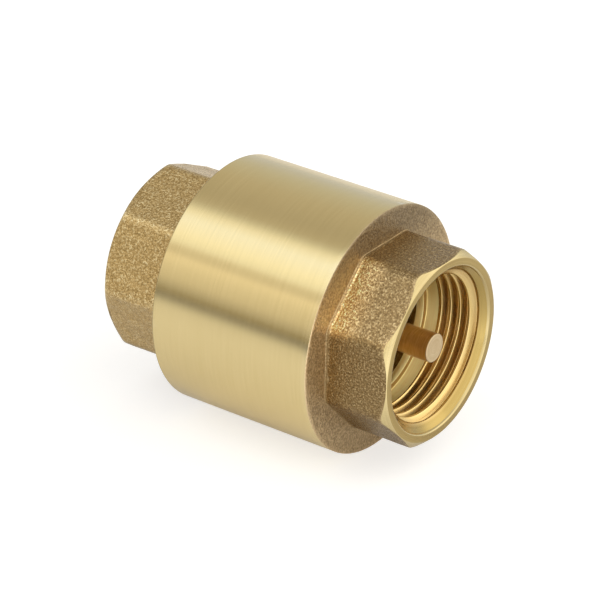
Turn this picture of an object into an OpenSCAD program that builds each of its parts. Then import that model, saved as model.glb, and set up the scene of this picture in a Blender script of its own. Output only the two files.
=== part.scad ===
// Spring-loaded in-line check valve, female ends, G 3/4.
// X is the flow direction (outlet at +X), Z is up, and the origin is on the
// flow axis half way between the two end faces. Millimetres.

/* [Overall] */
// Length from inlet face to outlet face
valve_len = 56; // [54:0.5:60]
// Diameter of the round body shell
body_d = 42; // [41:0.5:46]
// Length of the round body shell
shell_len = 30.4; // [30:0.1:31.5]
// Distance from the outlet face back to the rough flange face
outlet_oct_len = 11.6; // [11:0.1:12]
// Edge break on the open rim of the shell
rim_break = 0.2; // [0.1:0.1:1]

/* [Wrench octagons] */
// Width across flats of the outlet octagon
outlet_af = 31; // [30.5:0.5:33]
// Width across flats of the inlet octagon
inlet_af = 31; // [30.5:0.5:32]
// How far the turned corners stand in from the sharp corner
corner_cut = 0.3; // [0.1:0.05:0.4]
// Length of the turned chamfer at each end face
end_chamfer = 0.8; // [0.5:0.1:1.4]

/* [Ports] */
// Minor diameter of the pipe thread, the bore the crests stand on
port_minor_d = 24.12; // [24:0.01:24.2]
// Countersink diameter at each end face
csk_d = 28.4; // [27:0.1:28.6]
// Depth of that countersink
csk_len = 2.3; // [1.8:0.1:2.5]
// Depth of the outlet port to its shoulder
outlet_depth = 10.8; // [10.3:0.1:11.1]
// Depth of the inlet port to its shoulder
inlet_depth = 11; // [10:0.1:12]
// Diameter of the short throat behind the outlet port
throat_d = 22; // [20:0.5:22.5]
// Length of that throat
throat_len = 1.4; // [1.2:0.1:1.8]

/* [Chamber] */
// Diameter of the spring chamber
chamber_d = 33; // [32:0.5:34]
// Diameter of the screwed joint between shell and inlet end
joint_d = 36; // [35.5:0.1:37]
// Depth of the screwed joint from the open rim
joint_len = 7.4; // [7:0.1:8]
// Diameter of the bore that seats the stem guide
guide_d = 28; // [27:0.5:29]
// Thickness of the flat gasket under the inlet end
gasket_t = 1.6; // [1.2:0.1:1.8]

/* [Seat and poppet] */
// Bore through the valve seat
seat_d = 19.2; // [18:0.2:20]
// Width of the raised seat lip
seat_lip = 1.6; // [1.2:0.1:2]
// Axial position of the seat plane
seat_x = -6; // [-6.2:0.1:-5.8]
// Outer diameter of the poppet disc
disc_d = 26; // [25:0.5:27]
// Outer diameter of the rubber seal ring
seal_d = 24; // [23.6:0.1:24.2]
// Thickness of the rubber seal ring
seal_t = 2.5; // [2:0.1:2.6]

/* [Stem and guide] */
// Diameter of the guided length of the stem
stem_d = 4.8; // [4.6:0.1:5]
// Diameter of the screwed end of the stem
stem_thread_d = 4; // [3.8:0.1:4]
// Gap from the outlet face to the stem end, closed
stem_inset = 1.3; // [1:0.1:3]
// Outer diameter of the guide hub
hub_d = 8.6; // [8.4:0.1:9]
// Number of ribs on the guide
rib_n = 3; // [3:1:4]
// Width of each rib
rib_w = 2.6; // [2:0.1:3]

/* [Spring] */
// Wire diameter
wire_d = 0.9; // [0.7:0.05:1]
// Mean coil diameter
coil_d = 11.2; // [11:0.1:11.6]
// Number of coils, closed ends included
coil_n = 5.5; // [5:0.5:6]

/* [Hidden] */
$fn = 96;
over = 1; // how far cutters run past the faces they cut

// radii shared by mating pieces
body_r = body_d / 2;
port_r = port_minor_d / 2;
csk_r = csk_d / 2;
chamber_r = chamber_d / 2;
joint_r = joint_d / 2;
guide_r = guide_d / 2;
seal_r = seal_d / 2;
thread_r = stem_thread_d / 2;
thread_hole_r = thread_r + 0.05; // in the disc and the seal retainer

// end faces, flange face, open rim of the shell, inner end of the screwed joint
x_in = -valve_len / 2;
x_out = valve_len / 2;
x_flange = x_out - outlet_oct_len;
x_rim = x_flange - shell_len;
x_joint = x_rim + joint_len;
x_gasket = x_joint - gasket_t;

// guide: shoulder it seats on, its inlet-side face, and the snap-ring groove
x_guide = 13.4;
guide_t = 2.7;
x_guide_in = x_guide - guide_t;
snap_t = 0.8;
snap_depth = 0.7;
x_snap = x_guide_in - snap_t;

// hub and bush in the middle of the guide
hub_nose = 2.1;
hub_tail = 1.2;
x_hub_in = x_guide_in - hub_nose;
x_hub_out = x_guide + hub_tail;
bush_d = 6.4;

// poppet stack from the seat towards the outlet; the spring stands on the disc
x_disc = seat_x + seal_t;
disc_t = 2.7;
x_spring = x_disc + disc_t;
x_boss = x_spring + 1.4;

// poppet stack from the seat towards the inlet
x_retainer = seat_x - 1.2;
lock_t = 0.9;
x_lock = x_retainer - lock_t;
nut_t = 3.2;
nut_af = 7;
x_nut = x_lock - nut_t;

// body of revolution about X; each point is [radius, x]
module turned(pts) rotate([0, 90, 0]) rotate_extrude() polygon(pts);

// rectangular [radius, x] profile
function band(r_in, r_out, xa, xb) = [[r_in, xa], [r_out, xa], [r_out, xb], [r_in, xb]];

// plain rod about X from xa to xb
module rod_x(d, xa, xb) translate([xa, 0, 0]) rotate([0, 90, 0]) cylinder(d = d, h = xb - xa);

// octagonal bar about X; turn 0 puts a corner straight up, 22.5 puts a flat up
module oct_bar(af, xa, xb, turn) translate([xa, 0, 0]) rotate([0, 90, 0])
    rotate([0, 0, turn]) cylinder(r = af / 2 / cos(22.5), h = xb - xa, $fn = 8);

// wrench octagon with turned corners, chamfered where it meets its end face
module wrench_oct(af, x_root, x_face, turn) {
    corner_r = af / 2 / cos(22.5) - corner_cut;
    face_r = af / 2 - 0.1;
    side = x_face > x_root ? 1 : -1; // which way the end face looks along X
    intersection() {
        oct_bar(af, min(x_root, x_face), max(x_root, x_face), turn);
        turned([[0, x_root - side * over], [corner_r, x_root - side * over],
            [corner_r, x_face - side * end_chamfer], [face_r, x_face], [0, x_face]]);
    }
}

// shell with the outlet octagon
module outlet_body() {
    flange_break = 0.3;
    x_port = x_out - outlet_depth;
    x_throat = x_port - throat_len;
    shoulder_r = guide_r - 1.6;
    x_land = x_snap - 0.8; // inlet-side end of the guide bore
    chamber_bevel = 0.6;
    groove_r = guide_r + snap_depth;
    color([0.80, 0.68, 0.42]) difference() {
        union() {
            turned([[0, x_rim], [body_r - rim_break, x_rim], [body_r, x_rim + rim_break],
                [body_r, x_flange - flange_break], [body_r - flange_break, x_flange],
                [0, x_flange]]);
            wrench_oct(outlet_af, x_flange - 1, x_out, 22.5);
        }
        // the whole bore, from the open rim to the outlet face
        turned([[0, x_rim - over], [joint_r, x_rim - over], [joint_r, x_joint],
            [chamber_r, x_joint], [chamber_r, x_land - chamber_bevel],
            [chamber_r - chamber_bevel, x_land], [guide_r, x_land],
            [guide_r, x_snap], [groove_r, x_snap],
            [groove_r, x_snap + snap_t], [guide_r, x_snap + snap_t],
            [guide_r, x_guide], [shoulder_r, x_guide],
            [shoulder_r, x_throat], [throat_d / 2, x_throat],
            [throat_d / 2, x_port], [port_r, x_port],
            [port_r, x_out - csk_len], [csk_r, x_out],
            [csk_r, x_out + over], [0, x_out + over]]);
    }
}

// screwed-in inlet octagon that carries the valve seat
module inlet_end() {
    joint_fit = 0.03;
    lead = 0.4; // chamfer at the rim
    nose_r = chamber_r - 0.8;
    seat_r = seat_d / 2;
    lip_r = seat_r + seat_lip;
    lip_h = 1;
    lip_flare = 0.6;
    x_port = x_in + inlet_depth;
    cone_w = 0.9; // cone from the port shoulder down to the seat bore
    cone_len = 1.2;
    color([0.78, 0.64, 0.38]) difference() {
        union() {
            wrench_oct(inlet_af, x_rim + 0.5, x_in, 0);
            turned([[0, x_rim], [joint_r - lead, x_rim], [joint_r - joint_fit, x_rim + lead],
                [joint_r - joint_fit, x_gasket], [nose_r, x_gasket],
                [nose_r, seat_x - lip_h], [lip_r + lip_flare, seat_x - lip_h],
                [lip_r, seat_x], [0, seat_x]]);
        }
        turned([[0, x_in - over], [csk_r, x_in - over], [csk_r, x_in],
            [port_r, x_in + csk_len], [port_r, x_port],
            [seat_r + cone_w, x_port], [seat_r, x_port + cone_len],
            [seat_r, seat_x + over], [0, seat_x + over]]);
    }
}

module body_gasket() color([0.55, 0.20, 0.14])
    turned(band(chamber_r - 0.6, joint_r - 0.1, x_gasket, x_joint));

// rim, ribs and hub, with a round spring seat on the inlet side
module guide_spider() {
    rim_fit = 0.05;
    rim_r = guide_r - 2; // inside of the rim
    rib_start = 1;
    rib_end = rim_r + 0.5; // runs into the rim
    spring_seat_d = coil_d + wire_d + 1.2;
    spring_seat_t = 1;
    color([0.74, 0.60, 0.34]) difference() {
        union() {
            turned(band(rim_r, guide_r - rim_fit, x_guide_in, x_guide));
            for (i = [0 : rib_n - 1]) rotate([i * 360 / rib_n, 0, 0])
                translate([x_guide_in, -rib_w / 2, rib_start])
                    cube([guide_t, rib_w, rib_end - rib_start]);
            rod_x(hub_d, x_hub_in, x_hub_out);
            rod_x(spring_seat_d, x_guide_in, x_guide_in + spring_seat_t);
        }
        rod_x(bush_d, x_hub_in - over, x_hub_out + over);
    }
}

// plain bush in the hub, flanged on the inlet side
module guide_bush() {
    flange_t = 0.8;
    color([0.93, 0.92, 0.88]) difference() {
        union() {
            rod_x(bush_d - 0.02, x_hub_in, x_hub_out);
            rod_x(hub_d - 0.4, x_hub_in - flange_t, x_hub_in);
        }
        rod_x(stem_d + 0.1, x_hub_in - 2 * over, x_hub_out + over);
    }
}

// ring in the groove, with its gap at the bottom
module snap_ring() {
    gap_w = 5;
    gap_cut_len = 3;
    color([0.62, 0.63, 0.65]) difference() {
        turned(band(guide_r - 1.1, guide_r + snap_depth - 0.1,
            x_snap + 0.05, x_snap + snap_t - 0.02));
        translate([x_snap - over, -gap_w / 2, -guide_d]) cube([gap_cut_len, gap_w, guide_d]);
    }
}

// wire centre line: closed coils at both ends, open coils between
end_gap = 0.02; // between the spring and each seat
coil_gap = 0.06; // between turns in a closed coil
coil_rise = x_guide_in - x_spring - wire_d - 2 * end_gap;
// x after the given number of turns
function coil_x(turns) = x_spring + wire_d / 2 + end_gap + coil_rise * rise_share(turns / coil_n);
// share of the rise reached at share u of the turns
function rise_share(u) =
    let (end_u = 1 / coil_n, end_rise = (wire_d + coil_gap) / coil_rise)
    u < end_u ? end_rise * u / end_u
    : u > 1 - end_u ? 1 - end_rise * (1 - u) / end_u
    : end_rise + (1 - 2 * end_rise) * eased((u - end_u) / (1 - 2 * end_u));
// 0 to 1, flatter at both ends
function eased(v) = v - 0.06 * sin(360 * v);

module spring() {
    turn_steps = 26;
    sides = 8; // of the wire section
    steps = ceil(coil_n * turn_steps);
    wire_r = wire_d / 2;
    points = [for (i = [0 : steps]) let (turns = coil_n * i / steps, angle = 360 * turns)
        for (j = [0 : sides - 1])
            let (around = 360 * j / sides, r = coil_d / 2 + wire_r * cos(around))
            [coil_x(turns) + wire_r * sin(around), r * sin(angle), r * cos(angle)]];
    // two triangles for each side of each step, then the two end caps
    faces = concat(
        [for (i = [0 : steps - 1]) for (j = [0 : sides - 1]) let (k = (j + 1) % sides)
            [i * sides + j, (i + 1) * sides + j, (i + 1) * sides + k]],
        [for (i = [0 : steps - 1]) for (j = [0 : sides - 1]) let (k = (j + 1) % sides)
            [i * sides + j, (i + 1) * sides + k, i * sides + k]],
        [[for (j = [0 : sides - 1]) j]],
        [[for (j = [sides - 1 : -1 : 0]) steps * sides + j]]);
    color([0.72, 0.73, 0.75]) polyhedron(points = points, faces = faces);
}

// screwed end towards the inlet, guided length towards the outlet
module poppet_stem() {
    x_start = x_nut - 1.2;
    x_end = x_out - stem_inset;
    stem_r = stem_d / 2;
    start_chamfer = 0.4;
    end_break = 0.1;
    color([0.72, 0.50, 0.30])
        turned([[0, x_start], [thread_r - start_chamfer, x_start],
            [thread_r, x_start + start_chamfer], [thread_r, x_boss], [stem_r, x_boss],
            [stem_r, x_end - end_break], [stem_r - end_break, x_end], [0, x_end]]);
}

// disc with a rim around the seal and a boss inside the spring
module poppet_disc() {
    disc_r = disc_d / 2;
    x_rim_face = seat_x + 0.8;
    x_bevel = x_disc + 1.2;
    bevel_w = 1.5;
    boss_r = (coil_d - wire_d - 0.5) / 2;
    boss_break = 0.3;
    color([0.78, 0.64, 0.38])
        turned([[thread_hole_r, x_disc], [seal_r, x_disc], [seal_r, x_rim_face],
            [disc_r, x_rim_face], [disc_r, x_bevel],
            [disc_r - bevel_w, x_spring], [boss_r, x_spring],
            [boss_r, x_boss - boss_break], [boss_r - boss_break, x_boss],
            [thread_hole_r, x_boss]]);
}

module seal_ring() {
    hole_r = thread_r + 0.2;
    outer_r = seal_r - 0.05;
    bevel = 0.45;
    color([0.08, 0.08, 0.09])
        turned([[hole_r, seat_x], [outer_r - bevel, seat_x], [outer_r, seat_x + bevel],
            [outer_r, x_disc], [hole_r, x_disc]]);
}

module seal_retainer() {
    outer_r = 16.8 / 2;
    edge = 0.3;
    color([0.70, 0.71, 0.73])
        turned([[thread_hole_r, x_retainer], [outer_r - edge, x_retainer],
            [outer_r, x_retainer + edge], [outer_r, seat_x], [thread_hole_r, seat_x]]);
}

// split washer with its slot at the top
module lock_washer() {
    outer_r = 3.6;
    slot_w = 0.7;
    slot_h = 5;
    color([0.66, 0.67, 0.69]) difference() {
        turned(band(thread_r + 0.1, outer_r, x_lock, x_retainer));
        translate([x_lock - over, -slot_w / 2, 0]) cube([lock_t + 2 * over, slot_w, slot_h]);
    }
}

// hexagon nut, chamfered on the inlet side
module retainer_nut() {
    face_r = nut_af / 2 - 0.1;
    outer_r = nut_af / 2 + 0.7; // clear of the corners
    chamfer_len = 0.45;
    color([0.76, 0.62, 0.36]) difference() {
        intersection() {
            translate([x_nut, 0, 0]) rotate([0, 90, 0])
                cylinder(r = nut_af / 2 / cos(30), h = nut_t, $fn = 6);
            turned([[0, x_nut], [face_r, x_nut], [outer_r, x_nut + chamfer_len],
                [outer_r, x_lock], [0, x_lock]]);
        }
        rod_x(stem_thread_d + 0.04, x_nut - over, x_lock + over);
    }
}

outlet_body();
inlet_end();
body_gasket();
guide_spider();
guide_bush();
snap_ring();
spring();
poppet_stem();
poppet_disc();
seal_ring();
seal_retainer();
lock_washer();
retainer_nut();
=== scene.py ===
"""In-line check valve in brass, with its poppet, spring and guide.

The flow axis is X: the inlet is at the low end, the outlet at the high end. Z is up, and the
valve lies on a pale floor. The camera looks from the front (-Y), the outlet side and above.
Meshes are worked out in millimetres and scaled by MM; shaders, lights and camera use metres.
"""
import itertools
import math
from functools import cached_property, lru_cache, partial

import bmesh
import bpy
import numpy as np
from mathutils import Matrix, Vector


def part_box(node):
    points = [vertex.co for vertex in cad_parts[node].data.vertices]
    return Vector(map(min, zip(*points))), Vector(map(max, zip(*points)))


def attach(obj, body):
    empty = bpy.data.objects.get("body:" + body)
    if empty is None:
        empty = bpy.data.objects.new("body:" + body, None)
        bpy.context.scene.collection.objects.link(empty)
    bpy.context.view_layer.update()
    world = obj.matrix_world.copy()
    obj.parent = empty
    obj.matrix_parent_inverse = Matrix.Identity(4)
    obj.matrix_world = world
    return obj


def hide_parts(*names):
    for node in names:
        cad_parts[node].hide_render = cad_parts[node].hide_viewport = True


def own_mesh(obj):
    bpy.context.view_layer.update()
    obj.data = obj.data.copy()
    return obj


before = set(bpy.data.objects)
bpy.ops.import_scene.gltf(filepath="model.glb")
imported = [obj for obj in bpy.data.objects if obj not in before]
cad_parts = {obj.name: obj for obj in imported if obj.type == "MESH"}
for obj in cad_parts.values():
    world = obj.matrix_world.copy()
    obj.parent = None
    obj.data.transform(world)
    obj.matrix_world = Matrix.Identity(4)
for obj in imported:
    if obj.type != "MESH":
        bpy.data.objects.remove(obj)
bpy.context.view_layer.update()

MM = 0.001
TURN = 2 * math.pi

# ------------------------------------------------------------------ driving dimensions, mm


def x_range(node):
    """Lowest and highest x of a CAD node, in millimetres."""
    low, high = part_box(node)
    return float(low[0]) * 1000, float(high[0]) * 1000


X_RIM, X_OUTLET = (round(x, 2) for x in x_range("outlet_body"))
X_INLET = round(x_range("inlet_end")[0], 2)
STEM_X0, STEM_X1 = x_range("poppet_stem")
DISC_X1 = x_range("poppet_disc")[1]
SEAL_X0, SEAL_X1 = x_range("seal_ring")
RETAINER_X0, RETAINER_X1 = x_range("seal_retainer")
WASHER_X0, WASHER_X1 = x_range("lock_washer")
NUT_X0, NUT_X1 = x_range("retainer_nut")
SPRING_X0, SPRING_X1 = x_range("spring")
SPIDER_X0, SPIDER_X1 = x_range("guide_spider")
BUSH_X0, BUSH_X1 = x_range("guide_bush")
SNAP_X0, SNAP_X1 = x_range("snap_ring")
GASKET_X0, GASKET_X1 = x_range("body_gasket")

R_BODY = round(float(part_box("outlet_body")[1][2]) * 1000, 1)
X_FLANGE = X_OUTLET - 11.6      # outlet-side face of the round body
X_JOINT = X_RIM + 7.4           # depth of the socket that takes the inlet end's plug
X_SEAT = round(SEAL_X0, 2)
R_PLUG = 17.97
OCTAGON_INRADIUS = 15.5

PIPE_PITCH = 1.814
R_MINOR, R_MAJOR = 12.06, 13.22     # pipe thread crests and roots
R_MOUTH = 14.2                      # countersink at the end face
# Countersink, (depth from the end face, radius): edge bevel, short wall, bevel, 45 degree cone
COUNTERSINK = [
    (0.18, R_MOUTH - 0.16), (0.24, R_MOUTH - 0.20), (0.40, R_MOUTH - 0.24),
    (0.46, R_MOUTH - 0.30), (2.30, R_MINOR), (2.34, R_MINOR)]
# Places along one pitch where the pipe thread has a row of points; 0 is the crest's middle
PIPE_PHASES = [-0.5, -0.455, -0.42, -0.31, -0.2, -0.115, -0.085, -0.03, 0.03, 0.085, 0.115, 0.2,
               0.31, 0.42, 0.455]

R_STEM, R_STEM_THREAD = 2.4, 2.0
STEM_PITCH = 0.7
STEM_PHASES = [-0.5, -0.4, -0.23, -0.06, 0.06, 0.23, 0.4]

# Unevenness of the castings, (height, wavelength, seed)
OUTLET_ROUGHNESS = [(0.035, 2.6, 3), (0.022, 0.9, 5), (0.012, 0.45, 8)]
FLANGE_ROUGHNESS = [(0.035, 2.4, 4), (0.022, 0.9, 6)]
INLET_ROUGHNESS = [(0.05, 2.2, 13), (0.035, 0.8, 15), (0.015, 0.4, 18)]
FILLET_EDGE_ROUGHNESS = [(0.07, 0.8, 12), (0.05, 0.35, 14)]

# ------------------------------------------------------------------ shape helpers


@lru_cache
def lattice(seed):
    return np.random.default_rng(seed).random((32, 32, 32))


def value_noise(points, wave, seed):
    """Smooth noise from -1 to 1 with features about wave mm wide."""
    cells = points / wave + 1000.0
    corner = np.floor(cells).astype(int)
    part = cells - corner
    part = part * part * (3 - 2 * part)
    total = 0
    for step in itertools.product((0, 1), repeat=3):
        share = np.where(step, part, 1 - part)
        weight = share[..., 0] * share[..., 1] * share[..., 2]
        i, j, k = np.moveaxis((corner + step) % 32, -1, 0)
        total = total + weight * lattice(seed)[i, j, k]
    return total * 2 - 1


def unevenness(points, layers):
    return sum(height * value_noise(points, wave, seed) for height, wave, seed in layers)


def rough_radius(points, layers):
    """Moves points towards or away from the X axis."""
    shift = unevenness(points, layers)
    radius = np.hypot(points[:, 1], points[:, 2])
    moved = points.copy()
    moved[:, 1] += shift * points[:, 1] / radius
    moved[:, 2] += shift * points[:, 2] / radius
    return moved


def rough_x(points, layers):
    moved = points.copy()
    moved[:, 0] += unevenness(points, layers)
    return moved


def smooth_step(start, end, x):
    t = np.clip((x - start) / (end - start), 0, 1)
    return t * t * (3 - 2 * t)


def round_corners(points, steps=3):
    """Rounds the corners of a section. Each point is (x, r, corner radius) or (x, r)."""
    out = []
    for i, point in enumerate(points):
        radius = point[2] if len(point) > 2 else 0
        corner = np.array(point[:2], float)
        if radius <= 0 or i == 0 or i == len(points) - 1:
            out.append(tuple(corner))
            continue
        before = np.array(points[i - 1][:2], float) - corner
        after = np.array(points[i + 1][:2], float) - corner
        len_before, len_after = np.linalg.norm(before), np.linalg.norm(after)
        before, after = before / len_before, after / len_after
        opening = math.acos(np.clip(before @ after, -1, 1))
        if opening > math.pi - 1e-3:
            out.append(tuple(corner))
            continue
        # a corner takes at most 0.45 of either side
        cut = min(radius / math.tan(opening / 2), 0.45 * len_before, 0.45 * len_after)
        fitted = cut * math.tan(opening / 2)
        bisector = (before + after) / np.linalg.norm(before + after)
        centre = corner + bisector * (fitted / math.sin(opening / 2))
        start = math.atan2(*(corner + before * cut - centre)[::-1])
        end = math.atan2(*(corner + after * cut - centre)[::-1])
        sweep = (end - start + math.pi) % (2 * math.pi) - math.pi
        for step in range(steps + 1):
            angle = start + sweep * step / steps
            out.append((centre[0] + fitted * math.cos(angle),
                        centre[1] + fitted * math.sin(angle)))
    return out


def polygon_radius(angles, sides, inradius, corner_radius, first_corner):
    """Radius of a regular polygon with rounded corners, at each angle."""
    step = 2 * math.pi / sides
    half = step / 2
    from_corner = np.abs((angles - first_corner + half) % step - half)
    from_middle = half - from_corner
    centre = (inradius - corner_radius) / math.cos(half)
    flat_end = math.atan((inradius - corner_radius) * math.tan(half) / inradius)
    flat = inradius / np.cos(from_middle)
    inside = np.maximum(corner_radius ** 2 - (centre * np.sin(from_corner)) ** 2, 0)
    arc = centre * np.cos(from_corner) + np.sqrt(inside)
    return np.where(from_middle > flat_end, arc, flat)


def polygon_angles(sides, first_corner, flat_steps, corner_steps, corner_share):
    """Angles round the circle, closer together at the polygon's corners."""
    step = 2 * math.pi / sides
    reach = step / 2 * corner_share
    base = np.concatenate([
        np.linspace(-reach, reach, corner_steps, endpoint=False),
        np.linspace(reach, step - reach, flat_steps, endpoint=False)])
    return np.sort(np.concatenate(
        [(first_corner + side * step + base) % (2 * math.pi) for side in range(sides)]))


def even_angles(steps):
    return np.linspace(0, 2 * math.pi, steps + 1)[:-1]


# ------------------------------------------------------------------ mesh helpers


def face_outwards(bm):
    bmesh.ops.recalc_face_normals(bm, faces=bm.faces)
    if bm.calc_volume(signed=True) < 0:
        bmesh.ops.reverse_faces(bm, faces=bm.faces)


def add_object(name, bm, materials=(), sharp_deg=None):
    mesh = bpy.data.meshes.new(name)
    bm.to_mesh(mesh)
    bm.free()
    if sharp_deg is not None:
        mesh.set_sharp_from_angle(angle=math.radians(sharp_deg))
    ob = bpy.data.objects.new(name, mesh)
    bpy.context.scene.collection.objects.link(ob)
    for material in materials:
        mesh.materials.append(material)
    return ob


def register(ob, node, body):
    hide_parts(node)
    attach(ob, body)


class Skin:
    """A surface about X, built from rings in order along a section."""

    WELD = 2e-5     # points this close, in mm, become one

    def __init__(self, angles):
        self.angles = angles
        self.size = len(angles)
        self.points, self.faces, self.face_mats = [], [], []
        self.count = 0
        self.first = self.last = None

    def points_at(self, x, r):
        x = np.broadcast_to(np.asarray(x, float), self.size)
        r = np.broadcast_to(np.asarray(r, float), self.size)
        return np.stack([x, r * np.cos(self.angles), r * np.sin(self.angles)], -1)

    def _add(self, points):
        start = self.count
        self.points.append(points)
        self.count += len(points)
        return start

    def _strip(self, a, b, size, mat, closed=True):
        j = np.arange(size if closed else size - 1)
        k = (j + 1) % size
        self.faces.append(np.stack([a + j, a + k, b + k, b + j], -1))
        self.face_mats.append(np.full(len(j), mat))

    def ring(self, x, r, mat=0, displace=None):
        points = self.points_at(x, r)
        if displace is not None:
            points = displace(points)
        start = self._add(points)
        if self.last is None:
            self.first = start
        else:
            self._strip(self.last, start, self.size, mat)
        self.last = start

    def line(self, section, mat=0):
        for x, r in section:
            self.ring(x, r, mat)

    def thread(self, x_lo, x_hi, x_crest, pitch, phases, radius_at, mat, ascending):
        """A helical zone; ascending is True if the section runs from x_lo to x_hi.

        x_crest is where a crest stands at angle 0, and radius_at takes x and the phase.
        """
        t = np.append(self.angles, self.angles[0] + TURN)
        first_turn = math.floor((x_lo - x_crest) / pitch) - 2
        end_turn = math.ceil((x_hi - x_crest) / pitch) + 2
        rows = []
        for turn in range(first_turn, end_turn):
            for phase in phases:
                x = x_crest + pitch * (turn + phase + t / TURN)
                if x.min() > x_hi and rows and rows[-1][0].min() > x_hi:
                    continue
                if x.max() < x_lo:
                    rows = []
                rows.append((x, phase))
        starts = []
        for x, phase in rows:
            x = np.clip(x, x_lo, x_hi)
            r = radius_at(x, phase)
            starts.append(self._add(np.stack([x, r * np.cos(t), r * np.sin(t)], -1)))
        for a, b in zip(starts, starts[1:]):
            self._strip(a, b, len(t), mat, closed=False)
        # the section goes on from the far end of the zone; welding joins the two
        x_end = x_hi if ascending else x_lo
        self.last = self._add(self.points_at(x_end, radius_at(np.array([x_end]), 0.5)[0]))

    def close(self, mat=0):
        self._strip(self.last, self.first, self.size, mat)

    def build(self, name, materials, sharp_deg=None):
        points = np.concatenate(self.points)
        cells = np.round(points / self.WELD).astype(np.int64)
        _, kept, new_index = np.unique(cells, axis=0, return_index=True, return_inverse=True)
        quads = new_index.reshape(-1)[np.concatenate(self.faces)]
        mats = np.concatenate(self.face_mats)
        bm = bmesh.new()
        verts = [bm.verts.new(tuple(p * MM)) for p in points[kept]]
        seen = set()
        for quad, mat in zip(quads.tolist(), mats.tolist()):
            corners = []
            for i in quad:
                if not corners or corners[-1] != i:
                    corners.append(i)
            if len(corners) > 1 and corners[0] == corners[-1]:
                corners.pop()
            if len(corners) < 3 or len(set(corners)) < len(corners):
                continue
            key = frozenset(corners)
            if key in seen:
                continue
            seen.add(key)
            face = bm.faces.new([verts[i] for i in corners])
            face.material_index = mat
            face.smooth = True
        loose = [vert for vert in bm.verts if not vert.link_faces]
        if loose:
            bmesh.ops.delete(bm, geom=loose, context="VERTS")
        face_outwards(bm)
        return add_object(name, bm, materials, sharp_deg)


def tube(name, points, sides, material):
    """Joins loops of points, each with the same number of sides, and caps both ends."""
    loops = len(points) // sides
    faces = []
    for a in range(0, (loops - 1) * sides, sides):
        for j in range(sides):
            k = (j + 1) % sides
            faces.append([a + j, a + k, a + sides + k, a + sides + j])
    faces.append(list(range(sides))[::-1])
    faces.append([(loops - 1) * sides + j for j in range(sides)])
    bm = bmesh.new()
    verts = [bm.verts.new(tuple(p * MM)) for p in points]
    for corners in faces:
        bm.faces.new([verts[i] for i in corners]).smooth = True
    face_outwards(bm)
    return add_object(name, bm, [material], sharp_deg=50)


# ------------------------------------------------------------------ shader helpers


class Nodes:
    """Builds the node tree of a material or world."""

    def __init__(self, owner, space="Object"):
        owner.use_nodes = True
        self.tree = owner.node_tree
        self.tree.nodes.clear()
        self.place = self.node("ShaderNodeTexCoord").outputs[space]

    def node(self, kind, inputs=None, **props):
        """Adds a node; each input is a value or another node's output."""
        made = self.tree.nodes.new(kind)
        for key, value in props.items():
            setattr(made, key, value)
        for key, value in (inputs or {}).items():
            if isinstance(value, bpy.types.NodeSocket):
                self.tree.links.new(value, made.inputs[key])
            else:
                made.inputs[key].default_value = value
        return made

    @cached_property
    def axes(self):
        return self.node("ShaderNodeSeparateXYZ", {0: self.place}).outputs

    @cached_property
    def radius(self):
        """Distance from the X axis."""
        _, y, z = self.axes
        return self.math("SQRT", self.add(self.mul(y, y), self.mul(z, z)))

    def math(self, operation, a, b=0.0):
        return self.node("ShaderNodeMath", {0: a, 1: b}, operation=operation).outputs[0]

    def add(self, a, b):
        return self.math("ADD", a, b)

    def mul(self, a, b):
        return self.math("MULTIPLY", a, b)

    def _noise(self, vector, detail, roughness):
        return self.node("ShaderNodeTexNoise", {
            "Vector": vector, "Scale": 1.0, "Detail": detail,
            "Roughness": roughness, "Distortion": 0.0}).outputs["Fac"]

    def noise(self, scale, detail, roughness, offset=(0, 0, 0)):
        """Noise with scale cells per metre: one number, or one for each axis."""
        if not isinstance(scale, tuple):
            scale = (scale, scale, scale)
        mapping = self.node("ShaderNodeMapping", {
            "Vector": self.place, "Location": offset, "Scale": scale}, vector_type="POINT")
        return self._noise(mapping.outputs[0], detail, roughness)

    def radial_noise(self, radial, across, detail, roughness):
        """Noise drawn out into rings about X."""
        _, y, z = self.axes
        vector = self.node("ShaderNodeCombineXYZ", {
            0: self.mul(self.radius, radial), 1: self.mul(y, across), 2: self.mul(z, across)})
        return self._noise(vector.outputs[0], detail, roughness)

    def ramp(self, factor, stops):
        """Linear colour ramp from (position, colour) stops."""
        made = self.node("ShaderNodeValToRGB", {0: factor})
        made.color_ramp.interpolation = "LINEAR"
        elements = made.color_ramp.elements
        while len(elements) > 1:
            elements.remove(elements[-1])
        for i, (position, color) in enumerate(stops):
            element = elements.new(position) if i else elements[0]
            element.position = position
            element.color = (*color, 1)
        return made.outputs[0]

    def remap(self, value, span, to=(0.0, 1.0), interpolation="LINEAR"):
        """Maps span onto to, clamped."""
        return self.node("ShaderNodeMapRange", {
            "Value": value, "From Min": span[0], "From Max": span[1],
            "To Min": to[0], "To Max": to[1]},
            clamp=True, interpolation_type=interpolation).outputs[0]

    def mix(self, factor, a, b, blend="MIX"):
        """Mixes colours; 0 gives a, 1 gives b."""
        a, b = ((*c, 1) if isinstance(c, tuple) else c for c in (a, b))
        return self.node("ShaderNodeMix", {0: factor, 6: a, 7: b},
                         data_type="RGBA", blend_type=blend).outputs[2]

    def bump(self, height, distance, strength=1.0, normal=None):
        inputs = {"Height": height, "Distance": distance, "Strength": strength}
        if normal is not None:
            inputs["Normal"] = normal
        return self.node("ShaderNodeBump", inputs).outputs[0]

    def edge(self, span):
        """0 on flats, rising to 1 on convex edges."""
        pointiness = self.node("ShaderNodeNewGeometry").outputs["Pointiness"]
        return self.remap(pointiness, span=span)


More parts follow.
